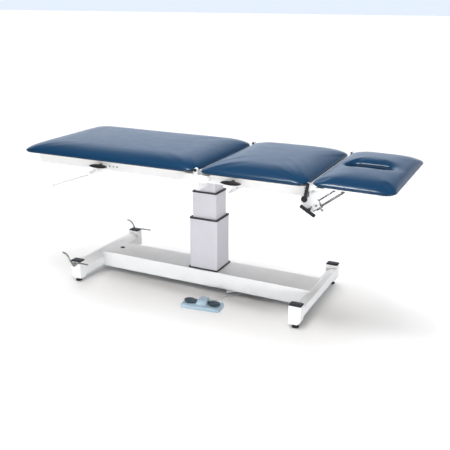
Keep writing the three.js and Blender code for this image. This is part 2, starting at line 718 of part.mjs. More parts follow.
function addHeadClamp() {
  const along = new THREE.Vector2(STRUT_TOP.x - CLAMP.x, STRUT_TOP.z - CLAMP.z).normalize();
  const across = new THREE.Vector2(-along.y, along.x);
  const point = (distance, offset, y) => [
    CLAMP.x + along.x * distance + across.x * offset,
    y,
    CLAMP.z + along.y * distance + across.y * offset,
  ];
  const reach = Math.hypot(STRUT_TOP.x - CLAMP.x, STRUT_TOP.z - CLAMP.z);
  const corner = (distance, offset) => {
    const [x, , z] = point(distance, offset, 0);
    return [x, z];
  };
  const block = join(
    sidePlate([corner(-12, -22), corner(12, -22), corner(12, 20), corner(-12, 20)], -303, -282),
    crossBar(CLAMP, -314, -300, 5, 12),
    rod(point(0, -20, -292.5), point(4, -31, -292.5), 3, 12),
    ball(point(4, -31, -292.5), 5.5),
  );
  const bores = [
    rod(point(-20, -STRUT_SPREAD, STRUT_Y), point(20, -STRUT_SPREAD, STRUT_Y), 5.5, 12),
    rod(point(-20, STRUT_SPREAD, STRUT_Y), point(20, STRUT_SPREAD, STRUT_Y), 4.1, 12),
  ];
  add("strut_clamp_block", cut(block, ...bores), zinc);

  // The strut: a bright tube and a darker rod side by side, joined by a yoke at the top. The
  // yoke is level at rest, so the tube reaches further than the rod.
  const yoke = [
    [STRUT_TOP.x - 25, STRUT_TOP.z - 3],
    [STRUT_TOP.x + 25, STRUT_TOP.z - 3],
    [STRUT_TOP.x + 25, STRUT_TOP.z + 2.5],
    [STRUT_TOP.x - 25, STRUT_TOP.z + 2.5],
  ];
  const tube = join(
    rod(point(-34, -STRUT_SPREAD, STRUT_Y), point(reach + 14, -STRUT_SPREAD, STRUT_Y), 5, 12),
    sidePlate(yoke, -300, -286),
    crossBar(STRUT_TOP, -302 + GAP, -285 - GAP, 5, 12),
  );
  const socket = rod(point(reach - 30, STRUT_SPREAD, STRUT_Y), point(reach, STRUT_SPREAD, STRUT_Y), 4.1, 12);
  add("head_strut_tube", tube.subtract(socket), zinc);
  const slimRod = rod(point(-22, STRUT_SPREAD, STRUT_Y), point(reach - 18, STRUT_SPREAD, STRUT_Y), 3.6, 12);
  add("head_strut_rod", slimRod, steel);

  const barAngle = -0.53;
  const tip = (distance) => [
    CLAMP_SPINDLE.x + distance * Math.cos(barAngle),
    -343,
    CLAMP_SPINDLE.z + distance * Math.sin(barAngle),
  ];
  const handle = join(
    rod(tip(-39), tip(39), 8, 12),
    crossBar(CLAMP_SPINDLE, -346, -325, 9),
    crossBar(CLAMP_SPINDLE, -326, -298, 4),
  );
  add("clamp_handle", handle, blackPlastic);
}

// ---- foot levers on the foot end's posts ----
function addFootLevers() {
  const hub = { x: -652, z: 98 };
  for (const side of [-1, 1]) {
    const [y0, y1] = span(side, 307, 313);
    const [h0, h1] = span(side, FOOT_REACH + GAP, 316);
    const middle = (y0 + y1) / 2;
    const swan = new THREE.CatmullRomCurve3(
      [
        [-652, 98],
        [-672, 108],
        [-684, 130],
        [-700, 150],
        [-724, 157],
      ].map(([x, z]) => new THREE.Vector3(x, middle, z)),
    );
    const strip = new THREE.Shape();
    strip.moveTo(-4.5, -3).lineTo(4.5, -3).lineTo(4.5, 3).lineTo(-4.5, 3);
    const upper = solid(new THREE.ExtrudeGeometry(strip, { extrudePath: swan, steps: 9 }));
    const lever = join(
      upper,
      lug({ x: -652, z: 98 }, { x: -622, z: 112 }, 5, y0, y1),
      lug({ x: -622, z: 112 }, { x: -580, z: 113 }, 4, y0, y1),
      lug({ x: -582, z: 113 }, { x: -562, z: 114 }, 6, y0, y1),
      crossBar(hub, h0, h1, 11),
    );
    add(`foot_lever_${side < 0 ? "left" : "right"}`, lever, zinc);
  }
}

// ---- control box, floor switch and cable ----
const CABLE_RADIUS = 3;
const CABLE_ROUTE = [
  [117, -221, 12],
  [119, -212, 10],
  [123, -203, 5.5],
  [131, -192, 3.4],
  [142, -178, 3.2],
  [151, -158, 3.2],
  [156, -138, 3.2],
  [162, -119, 3.2],
  [172, -103, 3.2],
  [184, -90, 3.2],
  [198, -77, 3.6],
  [210, -65, 7],
  [219, -55, 15],
  [222, -50, 26],
  [222, -50, 30],
];

function addControls() {
  const housing = cut(
    box(130, 380, -60, 60, 44, SPINE_TOP - WALL - GAP),
    box(134, 376, -56, 56, 48, 96),
    box(150, 160, -70, -50, 70, 76),
  );
  add("control_box", housing, blackPlastic);

  const gland = cut(
    join(
      rod([222, -50, 44 - GAP], [222, -50, 30.2], 8, 12, 5.5),
      rod([222, -50, 44 - GAP], [222, -50, 40], 10, 6),
    ),
    rod([222, -50, 50], [222, -50, 20], CABLE_RADIUS + GAP, 12),
  );
  add("cable_gland", gland, blackPlastic);

  const socket = join(
    rod([192, -46, 12], [146, -92, 12], 8, 12),
    rod([191, -47, 12], [204, -34, 22], 6, 10),
    rod([204, -34, 22], [204, -34, 44 - GAP], 6, 10),
    ball([204, -34, 22], 6.4),
  );
  add("control_socket", socket, cableGrey);

  const route = new THREE.CatmullRomCurve3(CABLE_ROUTE.map((p) => new THREE.Vector3(...p)));
  const section = new THREE.Shape();
  section.absarc(0, 0, CABLE_RADIUS, 0, 2 * Math.PI);
  const cable = new THREE.ExtrudeGeometry(section, {
    extrudePath: route,
    steps: 28,
    curveSegments: 2,
  });
  add("floor_switch_cable", solid(cable), cableGrey);
}

function addFloorSwitch() {
  const unit = new THREE.Group();
  unit.position.set(101, -279, 0);
  unit.rotation.z = (6.2 * Math.PI) / 180;
  table.add(unit);
  const housing = cut(
    join(
      roundedBlock(102, 47, 16, 0, 13, 0, 0, 3),
      roundedBlock(98, 43, 14, 12, 17, 0, 0, 3),
      roundedBlock(27, 34, 12, 12, 30, 0, 10, 3),
      roundedBlock(21, 22, 12, 29, 38, 0, 18, 3),
    ),
    rod([-34, 0, 27], [34, 0, 27], 3.4, 12),
    rod([22, 70, 12], [22, 38, 12], 4, 12),
  );
  add("floor_switch_housing", housing, switchBlue, unit);
  for (const side of [-1, 1]) {
    const oval = new THREE.Shape();
    oval.absellipse(side * 64, -2, 30, 23, 0, 2 * Math.PI);
    const pad = new THREE.ExtrudeGeometry(oval, { depth: 8, bevelEnabled: false, curveSegments: 6 });
    const neck = join(
      box(Math.min(side * 29, side * 45), Math.max(side * 29, side * 45), -8, 8, 23, 31),
      rod([side * 26.6, 0, 27], [side * 34, 0, 27], 3, 12),
    );
    const name = side < 0 ? "lower" : "raise";
    add(`floor_switch_pedal_${name}`, solid(pad.translate(0, 0, 23)).add(neck), slate, unit);
  }
}

addBase();
addFixedColumn();
addMiddleColumn();
addCarriage();
addLegSection();
addBackSection();
addHeadSection();
addRelease("leg", LEG_RELEASE, leverRod());
addRelease("back", BACK_RELEASE, []);
addGasSpring("leg", LEG_SPRING_FOOT, LEG_ROD, 230, 5);
addGasSpring("back", BACK_SPRING_FOOT, BACK_ROD, 125, 5);
addHeadClamp();
addFootLevers();
addControls();
addFloorSwitch();

table.position.x = -(FOOT_END + HEAD_END) / 2;

export default table;
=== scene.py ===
"""Looks of a height-adjustable treatment table: upholstery, smooth round parts, materials, stage.

Metres, in the CAD frame: origin on the floor below the middle of the table, +X towards the head
end, +Z up. The patient's left side, where the floor switch stands, is -Y.
"""

import json
import math

import bpy
from mathutils import Matrix, Vector


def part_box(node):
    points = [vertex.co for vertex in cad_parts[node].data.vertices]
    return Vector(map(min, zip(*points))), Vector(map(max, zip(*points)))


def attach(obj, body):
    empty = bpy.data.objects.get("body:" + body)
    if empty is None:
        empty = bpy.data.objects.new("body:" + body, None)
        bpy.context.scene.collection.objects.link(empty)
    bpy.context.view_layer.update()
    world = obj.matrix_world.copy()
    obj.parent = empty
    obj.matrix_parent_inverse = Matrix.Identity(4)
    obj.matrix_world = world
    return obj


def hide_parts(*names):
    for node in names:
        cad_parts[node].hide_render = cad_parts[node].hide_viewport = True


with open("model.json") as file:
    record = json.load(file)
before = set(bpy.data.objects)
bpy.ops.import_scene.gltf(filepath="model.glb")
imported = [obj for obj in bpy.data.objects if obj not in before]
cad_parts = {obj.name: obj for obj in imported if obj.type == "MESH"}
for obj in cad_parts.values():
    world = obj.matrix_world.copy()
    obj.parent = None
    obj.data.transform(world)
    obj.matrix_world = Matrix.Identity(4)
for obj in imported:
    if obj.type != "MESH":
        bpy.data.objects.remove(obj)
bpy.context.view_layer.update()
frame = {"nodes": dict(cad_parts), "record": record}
nodes = frame["nodes"]
MM = 0.001
COLUMN_X = -46 * MM  # the lift column's axis


def place(x, y, z):
    """A point given in millimetres from the column's axis, in the frame."""
    return Vector((x * MM + COLUMN_X, y * MM, z * MM))


def middle(node):
    low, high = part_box(node)
    return (low + high) / 2


# ---- camera ----
camera_data = bpy.data.cameras.new("camera")
camera_data.lens = 53.65
camera_data.sensor_width = 36
camera = bpy.data.objects.new("camera", camera_data)
camera.location = (1.4668, -2.9483, 1.4499)
camera.rotation_euler = tuple(math.radians(a) for a in (71.26, -0.2, 25.84))
bpy.context.scene.collection.objects.link(camera)
bpy.context.scene.camera = camera


# ---- materials ----
class Surface:
    """A procedural material: colour variation, roughness variation and one or two bump layers."""

    def __init__(self, name, color, roughness, metallic=0.0, coat=0.0):
        self.material = bpy.data.materials.new(name)
        self.material.use_nodes = True
        tree = self.material.node_tree
        self.nodes, self.links = tree.nodes, tree.links
        self.shader = self.nodes["Principled BSDF"]
        self.color, self.roughness = color, roughness
        self.material.diffuse_color = (*color, 1)
        self.shader.inputs["Base Color"].default_value = (*color, 1)
        self.shader.inputs["Metallic"].default_value = metallic
        self.shader.inputs["Coat Weight"].default_value = coat
        self.shader.inputs["Roughness"].default_value = roughness
        self.where = self.nodes.new("ShaderNodeTexCoord").outputs["Object"]
        self.normal = None

    def noise(self, scale, detail=3.0, stretch=(1, 1, 1)):
        mapping = self.nodes.new("ShaderNodeMapping")
        mapping.inputs["Scale"].default_value = stretch
        texture = self.nodes.new("ShaderNodeTexNoise")
        texture.inputs["Scale"].default_value = scale
        texture.inputs["Detail"].default_value = detail
        self.links.new(self.where, mapping.inputs["Vector"])
        self.links.new(mapping.outputs["Vector"], texture.inputs["Vector"])
        return texture.outputs["Fac"]

    def cells(self, scale):
        texture = self.nodes.new("ShaderNodeTexVoronoi")
        texture.inputs["Scale"].default_value = scale
        texture.feature = "SMOOTH_F1"
        self.links.new(self.where, texture.inputs["Vector"])
        return texture.outputs["Distance"]

    def mottled(self, scale, dark, light, stretch=(1, 1, 1), pattern=None):
        """The colour varies between dark and light times the base colour."""
        ramp = self.nodes.new("ShaderNodeValToRGB")
        ramp.color_ramp.elements[0].position = 0.3
        ramp.color_ramp.elements[1].position = 0.7
        for element, factor in zip(ramp.color_ramp.elements, (dark, light)):
            element.color = (*(min(1, c * factor) for c in self.color), 1)
        source = pattern or self.noise(scale, 5, stretch)
        self.links.new(source, ramp.inputs["Fac"])
        self.links.new(ramp.outputs["Color"], self.shader.inputs["Base Color"])
        return self

    def uneven_gloss(self, scale, spread, stretch=(1, 1, 1)):
        remap = self.nodes.new("ShaderNodeMapRange")
        remap.inputs["From Min"].default_value = 0.3
        remap.inputs["From Max"].default_value = 0.7
        remap.inputs["To Min"].default_value = max(0.02, self.roughness - spread)
        remap.inputs["To Max"].default_value = self.roughness + spread
        self.links.new(self.noise(scale, 4, stretch), remap.inputs["Value"])
        self.links.new(remap.outputs["Result"], self.shader.inputs["Roughness"])
        return self

    def bump(self, height, strength, distance):
        node = self.nodes.new("ShaderNodeBump")
        node.inputs["Strength"].default_value = strength
        node.inputs["Distance"].default_value = distance
        self.links.new(height, node.inputs["Height"])
        if self.normal is not None:
            self.links.new(self.normal, node.inputs["Normal"])
        self.normal = node.outputs["Normal"]
        self.links.new(self.normal, self.shader.inputs["Normal"])
        return self


def painted(name, color, roughness):
    """Powder coat: orange peel, a little unevenness in gloss, faint greying."""
    coat = Surface(name, color, roughness, coat=0.08)
    coat.mottled(9, 0.955, 1.01).uneven_gloss(35, 0.07)
    coat.bump(coat.noise(900, 2), 0.25, 0.0002)
    return coat.bump(coat.noise(140, 2), 0.12, 0.0004).material


def moulded(name, color, roughness, grain=700):
    """Moulded plastic with a fine sparked grain."""
    plastic = Surface(name, color, roughness)
    plastic.mottled(25, 0.82, 1.15).uneven_gloss(60, 0.08)
    plastic.bump(plastic.cells(grain), 0.35, 0.0002)
    return plastic.bump(plastic.noise(grain * 2.3, 2), 0.2, 0.0001).material


def rubbery(name, color, roughness=0.72):
    rubber = Surface(name, color, roughness)
    rubber.mottled(14, 0.75, 1.3).uneven_gloss(45, 0.1)
    return rubber.bump(rubber.noise(520, 4), 0.4, 0.0003).material


def metal(name, color, roughness, stretch=(1, 1, 1), spread=0.1):
    """Bare or plated metal with drawing marks along the direction that stretch leaves coarse."""
    bare = Surface(name, color, roughness, metallic=1.0)
    bare.mottled(60, 0.85, 1.1, stretch).uneven_gloss(160, spread, stretch)
    return bare.bump(bare.noise(420, 3, stretch), 0.15, 0.0001).material


def vinyl_cloth():
    """Coated upholstery: pebbled grain of two sizes over a soft unevenness of the foam."""
    vinyl = Surface("blue_vinyl", (0.0012, 0.036, 0.095), 0.3, coat=0.3)
    vinyl.shader.inputs["Coat Roughness"].default_value = 0.16
    vinyl.mottled(5, 0.97, 1.03).uneven_gloss(22, 0.025)
    vinyl.bump(vinyl.noise(7, 1), 0.12, 0.0006)
    vinyl.bump(vinyl.cells(620), 0.22, 0.0002)
    return vinyl.bump(vinyl.noise(1500, 3), 0.15, 0.0001).material


def veneer():
    """Plywood: plies show on the edge, long grain on the faces."""
    ply = Surface("plywood", (0.5, 0.34, 0.18), 0.62)
    grain = ply.noise(30, 6, (1, 14, 60))
    ply.mottled(0, 0.62, 1.15, pattern=grain).uneven_gloss(20, 0.08)
    return ply.bump(grain, 0.3, 0.0004).material


LOOKS = {
    "white_powder_coat": painted("white_powder_coat", (0.88, 0.89, 0.90), 0.42),
    "column_grey_coat": painted("column_grey_coat", (0.60, 0.59, 0.645), 0.38),
    "black_plastic": moulded("black_plastic", (0.012, 0.013, 0.015), 0.45),
    "black_rubber": rubbery("black_rubber", (0.022, 0.024, 0.027)),
    "blue_vinyl": vinyl_cloth(),
    "plywood": veneer(),
    "zinc_plate": metal("zinc_plate", (0.42, 0.43, 0.42), 0.33),
    "bright_steel": metal("bright_steel", (0.40, 0.41, 0.43), 0.22, (1, 8, 8), 0.06),
    "black_steel": painted("black_steel", (0.016, 0.016, 0.018), 0.35),
    "cast_housing": metal("cast_housing", (0.32, 0.33, 0.34), 0.55),
    "light_grey_plastic": moulded("light_grey_plastic", (0.56, 0.57, 0.59), 0.4),
    "cable_grey": rubbery("cable_grey", (0.46, 0.48, 0.5), 0.5),
    "switch_blue_plastic": moulded("switch_blue_plastic", (0.36, 0.48, 0.58), 0.42, 480),
    "slate_rubber": rubbery("slate_rubber", (0.024, 0.05, 0.072), 0.55),
}
SLOT_OF = {s["node"]: s["material_slot"] for s in frame["record"]["subparts"]}

ROUNDED_EDGE = {"base_frame": 2.0, "head_frame": 1.5, "lift_gear_motor": 1.5}
for name, node in nodes.items():
    look = LOOKS[SLOT_OF[name]]
    if not node.material_slots:
        node.data.materials.append(look)
    for material_slot in node.material_slots:
        material_slot.material = look
    node.data.polygons.foreach_set("use_smooth", [True] * len(node.data.polygons))
    node.data.set_sharp_from_angle(angle=math.radians(38))
    edge = node.modifiers.new("rounded_edges", "BEVEL")
    edge.width = ROUNDED_EDGE.get(name, 1.0) * MM
    edge.segments = 2
    edge.limit_method = "ANGLE"
    edge.angle_limit = math.radians(50)
    edge.harden_normals = True


# ---- mesh building ----
class Shape:
    """Collects closed lofts and turns them into one object."""

    def __init__(self):
        self.points, self.faces = [], []

    def loft(self, rings, caps=True, closed=False):
        """Joins rings with equal numbers of points; closed joins the last ring to the first."""
        start, count = len(self.points), len(rings[0])
        for ring in rings:
            self.points.extend(ring)
        steps = len(rings) if closed else len(rings) - 1
        for level in range(steps):
            near = start + level * count
            far = start + ((level + 1) % len(rings)) * count
            for i in range(count):
                j = (i + 1) % count
                self.faces.append((near + i, near + j, far + j, far + i))
        if caps and not closed:
            self.faces.append(tuple(start + i for i in reversed(range(count))))
            self.faces.append(tuple(start + steps * count + i for i in range(count)))
        return self

    def turned(self, start, end, profile, sides=32):
        """A turned part: profile is (share of the way from start to end, radius in mm)."""
        axis = end - start
        turn = axis.to_track_quat("Z", "Y")
        rings = []
        for share, radius in profile:
            centre = start + axis * share
            ring = []
            for i in range(sides):
                angle = 2 * math.pi * i / sides
                offset = Vector((math.cos(angle), math.sin(angle), 0)) * radius * MM
                ring.append(centre + turn @ offset)
            rings.append(ring)
        return self.loft(rings)

    def bar(self, start, end, radius, chamfer=1.0, sides=32):
        """A round bar with softened ends. Radius and chamfer in mm."""
        share = chamfer * MM / (end - start).length
        profile = [(0, radius - chamfer), (share * 0.3, radius - chamfer * 0.3), (share, radius)]
        profile += [(1 - share, radius), (1 - share * 0.3, radius - chamfer * 0.3)]
        profile.append((1, radius - chamfer))
        return self.turned(start, end, profile, sides)

    def swept(self, path, section):
        """Sweeps a section of (sideways along Y, upwards) offsets in mm along a path."""
        rings = []
        for i, point in enumerate(path):
            ahead = path[min(i + 1, len(path) - 1)] - path[max(i - 1, 0)]
            side = Vector((0, 1, 0))
            up = ahead.cross(side).normalized()
            rings.append([point + side * u * MM + up * v * MM for u, v in section])
        return self.loft(rings)

    def across(self, outline, y0, y1, rounding):
        """An outline of frame (x, z) points between two Y planes, with rounded rims (mm)."""
        centre_x = sum(x for x, _ in outline) / len(outline)
        centre_z = sum(z for _, z in outline) / len(outline)
        half_x = max(abs(x - centre_x) for x, _ in outline)
        half_z = max(abs(z - centre_z) for _, z in outline)
        r = rounding * MM
        rings = []
        for y, inset in rim(y0, y1, r):
            fx, fz = 1 - inset / half_x, 1 - inset / half_z
            ring = [
                Vector((centre_x + (x - centre_x) * fx, y, centre_z + (z - centre_z) * fz))
                for x, z in outline
            ]
            rings.append(ring)
        return self.loft(rings)

    def upright(self, rings_of):
        """Stacked rings given as (height, list of (x, y)) in the frame."""
        return self.loft([[Vector((x, y, z)) for x, y in ring] for z, ring in rings_of])

    def finish(self, name, look, body, replaced=(), subdivide=0, crease_angle=40):
        mesh = bpy.data.meshes.new(name)
        mesh.from_pydata([tuple(p) for p in self.points], [], self.faces)
        mesh.validate()
        mesh.polygons.foreach_set("use_smooth", [True] * len(mesh.polygons))
        mesh.materials.append(LOOKS[look])
        piece = bpy.data.objects.new(name, mesh)
        bpy.context.scene.collection.objects.link(piece)
        outward(mesh)
        mesh.set_sharp_from_angle(angle=math.radians(crease_angle))
        if subdivide:
            piece.modifiers.new("smooth", "SUBSURF").levels = subdivide
            piece.modifiers["smooth"].render_levels = subdivide
        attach(piece, body)
        if replaced:
            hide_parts(*replaced)
        return piece


def outward(mesh):
    import bmesh

    work = bmesh.new()
    work.from_mesh(mesh)
    bmesh.ops.recalc_face_normals(work, faces=work.faces)
    work.to_mesh(mesh)
    work.free()


def rim(low, high, r, steps=3):
    """(position, inset) pairs for a quarter-round rim at both ends."""
    turn = [math.pi / 2 * i / steps for i in range(steps + 1)]
    start = [(low + r * (1 - math.sin(a)), r * (1 - math.cos(a))) for a in reversed(turn)]
    end = [(high - r * (1 - math.sin(a)), r * (1 - math.cos(a))) for a in turn]
    return start + end


def rounded_outline(centre, half_x, half_y, radius, spin=0.0, steps=8):
    """(x, y) points of a rounded rectangle, in metres, turned by spin about its centre."""
    points = []
    for quarter in range(4):
        sx = 1 if quarter in (0, 3) else -1
        sy = 1 if quarter < 2 else -1
        for step in range(steps + 1):
            angle = (quarter + step / steps) * math.pi / 2
            x = sx * (half_x - radius) + radius * math.cos(angle)
            y = sy * (half_y - radius) + radius * math.sin(angle)
            points.append(
                (
                    centre[0] + x * math.cos(spin) - y * math.sin(spin),
                    centre[1] + x * math.sin(spin) + y * math.cos(spin),
                )
            )
    return points


def smooth_path(points, per_span=8):
    """Catmull-Rom through the points."""
    padded = [2 * points[0] - points[1], *points, 2 * points[-1] - points[-2]]
    path = []
    for p0, p1, p2, p3 in zip(padded, padded[1:], padded[2:], padded[3:]):
        for step in range(per_span):
            t = step / per_span
            path.append(
                0.5
                * (
                    2 * p1
                    + (p2 - p0) * t
                    + (2 * p0 - 5 * p1 + 4 * p2 - p3) * t**2
                    + (3 * p1 - p0 - 3 * p2 + p3) * t**3
                )
            )
    path.append(points[-1])
    return path


# ---- floor switch cable ----
CABLE_ROUTE = [
    (117, -221, 12),
    (119, -212, 10),
    (123, -203, 5.5),
    (131, -192, 3.4),
    (142, -178, 3.2),
    (151, -158, 3.2),
    (156, -138, 3.2),
    (162, -119, 3.2),
    (172, -103, 3.2),
    (184, -90, 3.2),
    (198, -77, 3.6),
    (210, -65, 7),
    (219, -55, 15),
    (222, -50, 26),
    (222, -50, 30),
]
CABLE_DIAMETER = 6 * MM
cable_path = smooth_path([place(*p) for p in CABLE_ROUTE], 5)
cable = Shape()
cable_rings = []
for i, point in enumerate(cable_path):
    ahead = cable_path[min(i + 1, len(cable_path) - 1)] - cable_path[max(i - 1, 0)]
    turn = ahead.to_track_quat("Z", "Y")
    ring = []
    for k in range(16):
        angle = 2 * math.pi * k / 16
        offset = Vector((math.cos(angle), math.sin(angle), 0)) * (CABLE_DIAMETER / 2)
        ring.append(point + turn @ offset)
    cable_rings.append(ring)
cable = cable.loft(cable_rings).finish("switch_cable", "cable_grey", "base", ["floor_switch_cable"])

# ---- upholstery ----
HEAD_HINGE = place(640, 0, 706)
HEAD_DROOP = Matrix.Rotation(math.radians(0.7), 4, "Y")
SLOT_CENTRE_X, SLOT_HALF_LENGTH, SLOT_HALF_WIDTH = 812 * MM + COLUMN_X, 105 * MM, 44 * MM
PAD_TOP = 742 * MM
BOARD_HEIGHT = 12.3 * MM
BOARD_INSET = 13.7 * MM
PLAN_CORNER = 56 * MM  # corner radius of the pad's widest outline
WIDEST = 0.22  # height of the widest outline, as a share of the pad's height
EDGE_REACH = 140 * MM  # how far in from the side the rounded edge meets the top
FULLNESS = 0.7  # 0.5 gives an elliptical shoulder, more a flatter, pillow-like one
VOXEL = 6.5 * MM
SWELL_LIMIT = 7 * MM
SIM_FRAMES = 20


def evaluated_mesh(piece):
    bpy.context.view_layer.update()
    graph = bpy.context.evaluated_depsgraph_get()
    return bpy.data.meshes.new_from_object(piece.evaluated_get(graph))


def with_modifier(piece, kind, **settings):
    """Adds a modifier, applies it and leaves none."""
    modifier = piece.modifiers.new("work", kind)
    for key, value in settings.items():
        setattr(modifier, key, value)
    mesh = evaluated_mesh(piece)
    piece.modifiers.clear()
    piece.data = mesh


def cover_profile(height):
    """(height above the pad's bottom, inset) from the board's recess round to the flat top."""
    tuck = [(BOARD_HEIGHT, BOARD_INSET), (0.0, BOARD_INSET), (0.0, 7 * MM)]
    tuck += [(0.05 * height, 3 * MM), (0.12 * height, 0.8 * MM)]
    widest = WIDEST * height
    roll = []
    for i in range(17):
        share = (i / 16) ** 2  # how far in from the side
        rise = (1 - (1 - share) ** 2) ** FULLNESS
        roll.append((widest + (height - widest) * rise, EDGE_REACH * share))
    return tuck + roll


def pad_blank(name, x0, x1, half_y, bottom):
    """The foam's shape before the cover pulls on it, level, as a closed loft."""
    centre, half_x = ((x0 + x1) / 2, 0.0), (x1 - x0) / 2
    rings = []
    for height, inset in cover_profile(PAD_TOP - bottom):
        corner = PLAN_CORNER - inset * 0.15
        outline = rounded_outline(centre, half_x - inset, half_y - inset, corner)
        rings.append((bottom + height, outline))
    shape = Shape().upright(rings)
    mesh = bpy.data.meshes.new(name)
    mesh.from_pydata([tuple(p) for p in shape.points], [], shape.faces)
    outward(mesh)
    piece = bpy.data.objects.new(name, mesh)
    bpy.context.scene.collection.objects.link(piece)
    return piece


def cut_slot(piece):
    """Takes the face slot out of the blank."""
    outline = rounded_outline(
        (SLOT_CENTRE_X, 0.0), SLOT_HALF_LENGTH, SLOT_HALF_WIDTH, SLOT_HALF_WIDTH - MM
    )
    tool_mesh = bpy.data.meshes.new("slot_tool")
    tool = Shape().upright([(PAD_TOP - 0.1, outline), (PAD_TOP + 0.05, outline)])
    tool_mesh.from_pydata([tuple(p) for p in tool.points], [], tool.faces)
    outward(tool_mesh)
    cutter = bpy.data.objects.new("slot_tool", tool_mesh)
    bpy.context.scene.collection.objects.link(cutter)
    with_modifier(piece, "BOOLEAN", operation="DIFFERENCE", object=cutter)
    bpy.data.objects.remove(cutter)


def swell(piece, held):
    """Inflates the cover over its foam, with the held vertices fixed, and applies the result."""
    before = [v.co.copy() for v in piece.data.vertices]
    group = piece.vertex_groups.new(name="held")
    group.add(held, 1.0, "REPLACE")
    cloth = piece.modifiers.new("cover", "CLOTH")
    settings = cloth.settings
    settings.quality = 5
    settings.mass = 0.4
    settings.tension_stiffness = settings.compression_stiffness = 18
    settings.shear_stiffness = 8
    settings.bending_stiffness = 4
    settings.use_pressure = True
    settings.uniform_pressure_force = 4
    settings.vertex_group_mass = "held"
    settings.effector_weights.gravity = 0
    cloth.collision_settings.use_collision = False
    cloth.collision_settings.use_self_collision = False
    cloth.point_cache.frame_start, cloth.point_cache.frame_end = 1, SIM_FRAMES
    for number in range(1, SIM_FRAMES + 1):
        bpy.context.scene.frame_set(number)
    swollen = evaluated_mesh(piece)
    moves = [vertex.co - old for vertex, old in zip(swollen.vertices, before)]
    share = min(1.0, SWELL_LIMIT / max(move.length for move in moves))
    for vertex, old, move in zip(swollen.vertices, before, moves):
        vertex.co = old + move * share
    piece.modifiers.clear()
    piece.data = swollen
    bpy.context.scene.frame_set(1)


def slot_distance(x, y):
    """Distance outside the face slot's oblong outline."""
    along_slot = max(0.0, abs(x - SLOT_CENTRE_X) - (SLOT_HALF_LENGTH - SLOT_HALF_WIDTH))
    return math.hypot(along_slot, y) - SLOT_HALF_WIDTH


def cushion(node, body, x0, x1, half_y, bottom, has_slot=False):
    piece = pad_blank(node.replace("cushion", "upholstery"), x0, x1, half_y, bottom)
    if has_slot:
        cut_slot(piece)
    with_modifier(piece, "REMESH", mode="VOXEL", voxel_size=VOXEL)
    soft = piece.vertex_groups.new(name="soft")
    held = []
    for vertex in piece.data.vertices:
        p = vertex.co
        edge = min(p.x - x0, x1 - p.x, p.y + half_y, half_y - p.y)
        above = p.z - bottom
        under = above < BOARD_HEIGHT + 3 * MM and edge > 10 * MM
        if above < 6 * MM or under:
            held.append(vertex.index)
        soft.add([vertex.index], 0 if under else min(1, above / TACKED_HEIGHT) ** 2, "REPLACE")
        if has_slot and above > BOARD_HEIGHT + 6 * MM:
            near = max(0.0, 1 - max(0.0, slot_distance(p.x, p.y)) / SLOT_ROLL)
            vertex.co.z -= SLOT_SINK * near**2
    with_modifier(piece, "SMOOTH", factor=0.5, iterations=8, vertex_group="soft")
    swell(piece, held)
    with_modifier(piece, "SMOOTH", factor=0.5, iterations=10, vertex_group="soft")
    piece.vertex_groups.clear()
    gather_corners(piece, x0, x1, half_y, bottom)
    if has_slot:
        droop = Matrix.Translation(HEAD_HINGE) @ HEAD_DROOP @ Matrix.Translation(-HEAD_HINGE)
        piece.data.transform(droop)
    piece.data.polygons.foreach_set("use_smooth", [True] * len(piece.data.polygons))
    piece.data.materials.clear()
    piece.data.materials.append(LOOKS["blue_vinyl"])
    finer = piece.modifiers.new("smooth", "SUBSURF")
    finer.levels = finer.render_levels = 1
    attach(piece, body)
    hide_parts(node)
    return piece


TACKED_HEIGHT = 14 * MM  # below this the cover is pulled tight over the board's edge
SLOT_ROLL = 40 * MM  # width of the soft rim round the face slot
SLOT_SINK = 11 * MM
FOLD_DEPTH = 1.2 * MM
FOLD_HEIGHT = 16 * MM
FOLDS = 7  # in each corner


def gather_corners(piece, x0, x1, half_y, bottom):
    """Folds of the cover round each corner, deepest at the bottom where it is tacked down."""
    for vertex in piece.data.vertices:
        p = vertex.co
        sx = 1 if p.x > (x0 + x1) / 2 else -1
        sy = 1 if p.y > 0 else -1
        dx = (p.x - (x1 if sx > 0 else x0)) * sx + PLAN_CORNER
        dy = p.y * sy - half_y + PLAN_CORNER
        radius = math.hypot(dx, dy)
        if dx < 0 or dy < 0 or radius < 0.6 * PLAN_CORNER:
            continue
        angle = math.atan2(dy, dx)
        fade = max(0.0, 1 - (p.z - bottom) / FOLD_HEIGHT) ** 1.5 * math.sin(2 * angle) ** 2
        depth = FOLD_DEPTH * fade * (0.5 + 0.5 * math.cos(4 * FOLDS * angle))
        vertex.co.x -= sx * depth * dx / radius
        vertex.co.y -= sy * depth * dy / radius


HALF_WIDTH = 343 * MM
for section in ("leg", "back"):
    low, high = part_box(f"{section}_cushion")
    cushion(f"{section}_cushion", f"{section}_section", low.x, high.x, HALF_WIDTH, low.z)
HEAD_FROM, HEAD_TO = place(644.5, 0, 0).x, place(1006, 0, 0).x
HEAD_BOTTOM = 697.3 * MM
cushion("head_cushion", "head_section", HEAD_FROM, HEAD_TO, HALF_WIDTH, HEAD_BOTTOM, has_slot=True)


# ---- release paddles, shafts and rods ----
def wing_outline(node):
    """The paddle's lens outline, from its CAD box, as (x, z)."""
    low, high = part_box(node)
    centre = (low + high) / 2
    half_x, half_z = (high.x - low.x) / 2, (high.z - low.z) / 2
    points = []
    for i in range(48):
        angle = 2 * math.pi * i / 48
        c, s = math.cos(angle), math.sin(angle)
        x = half_x * math.copysign(abs(c) ** 0.9, c)
        z = half_z * math.copysign(abs(s) ** 1.35, s)
        points.append((centre.x + x, centre.z + z))
    return points


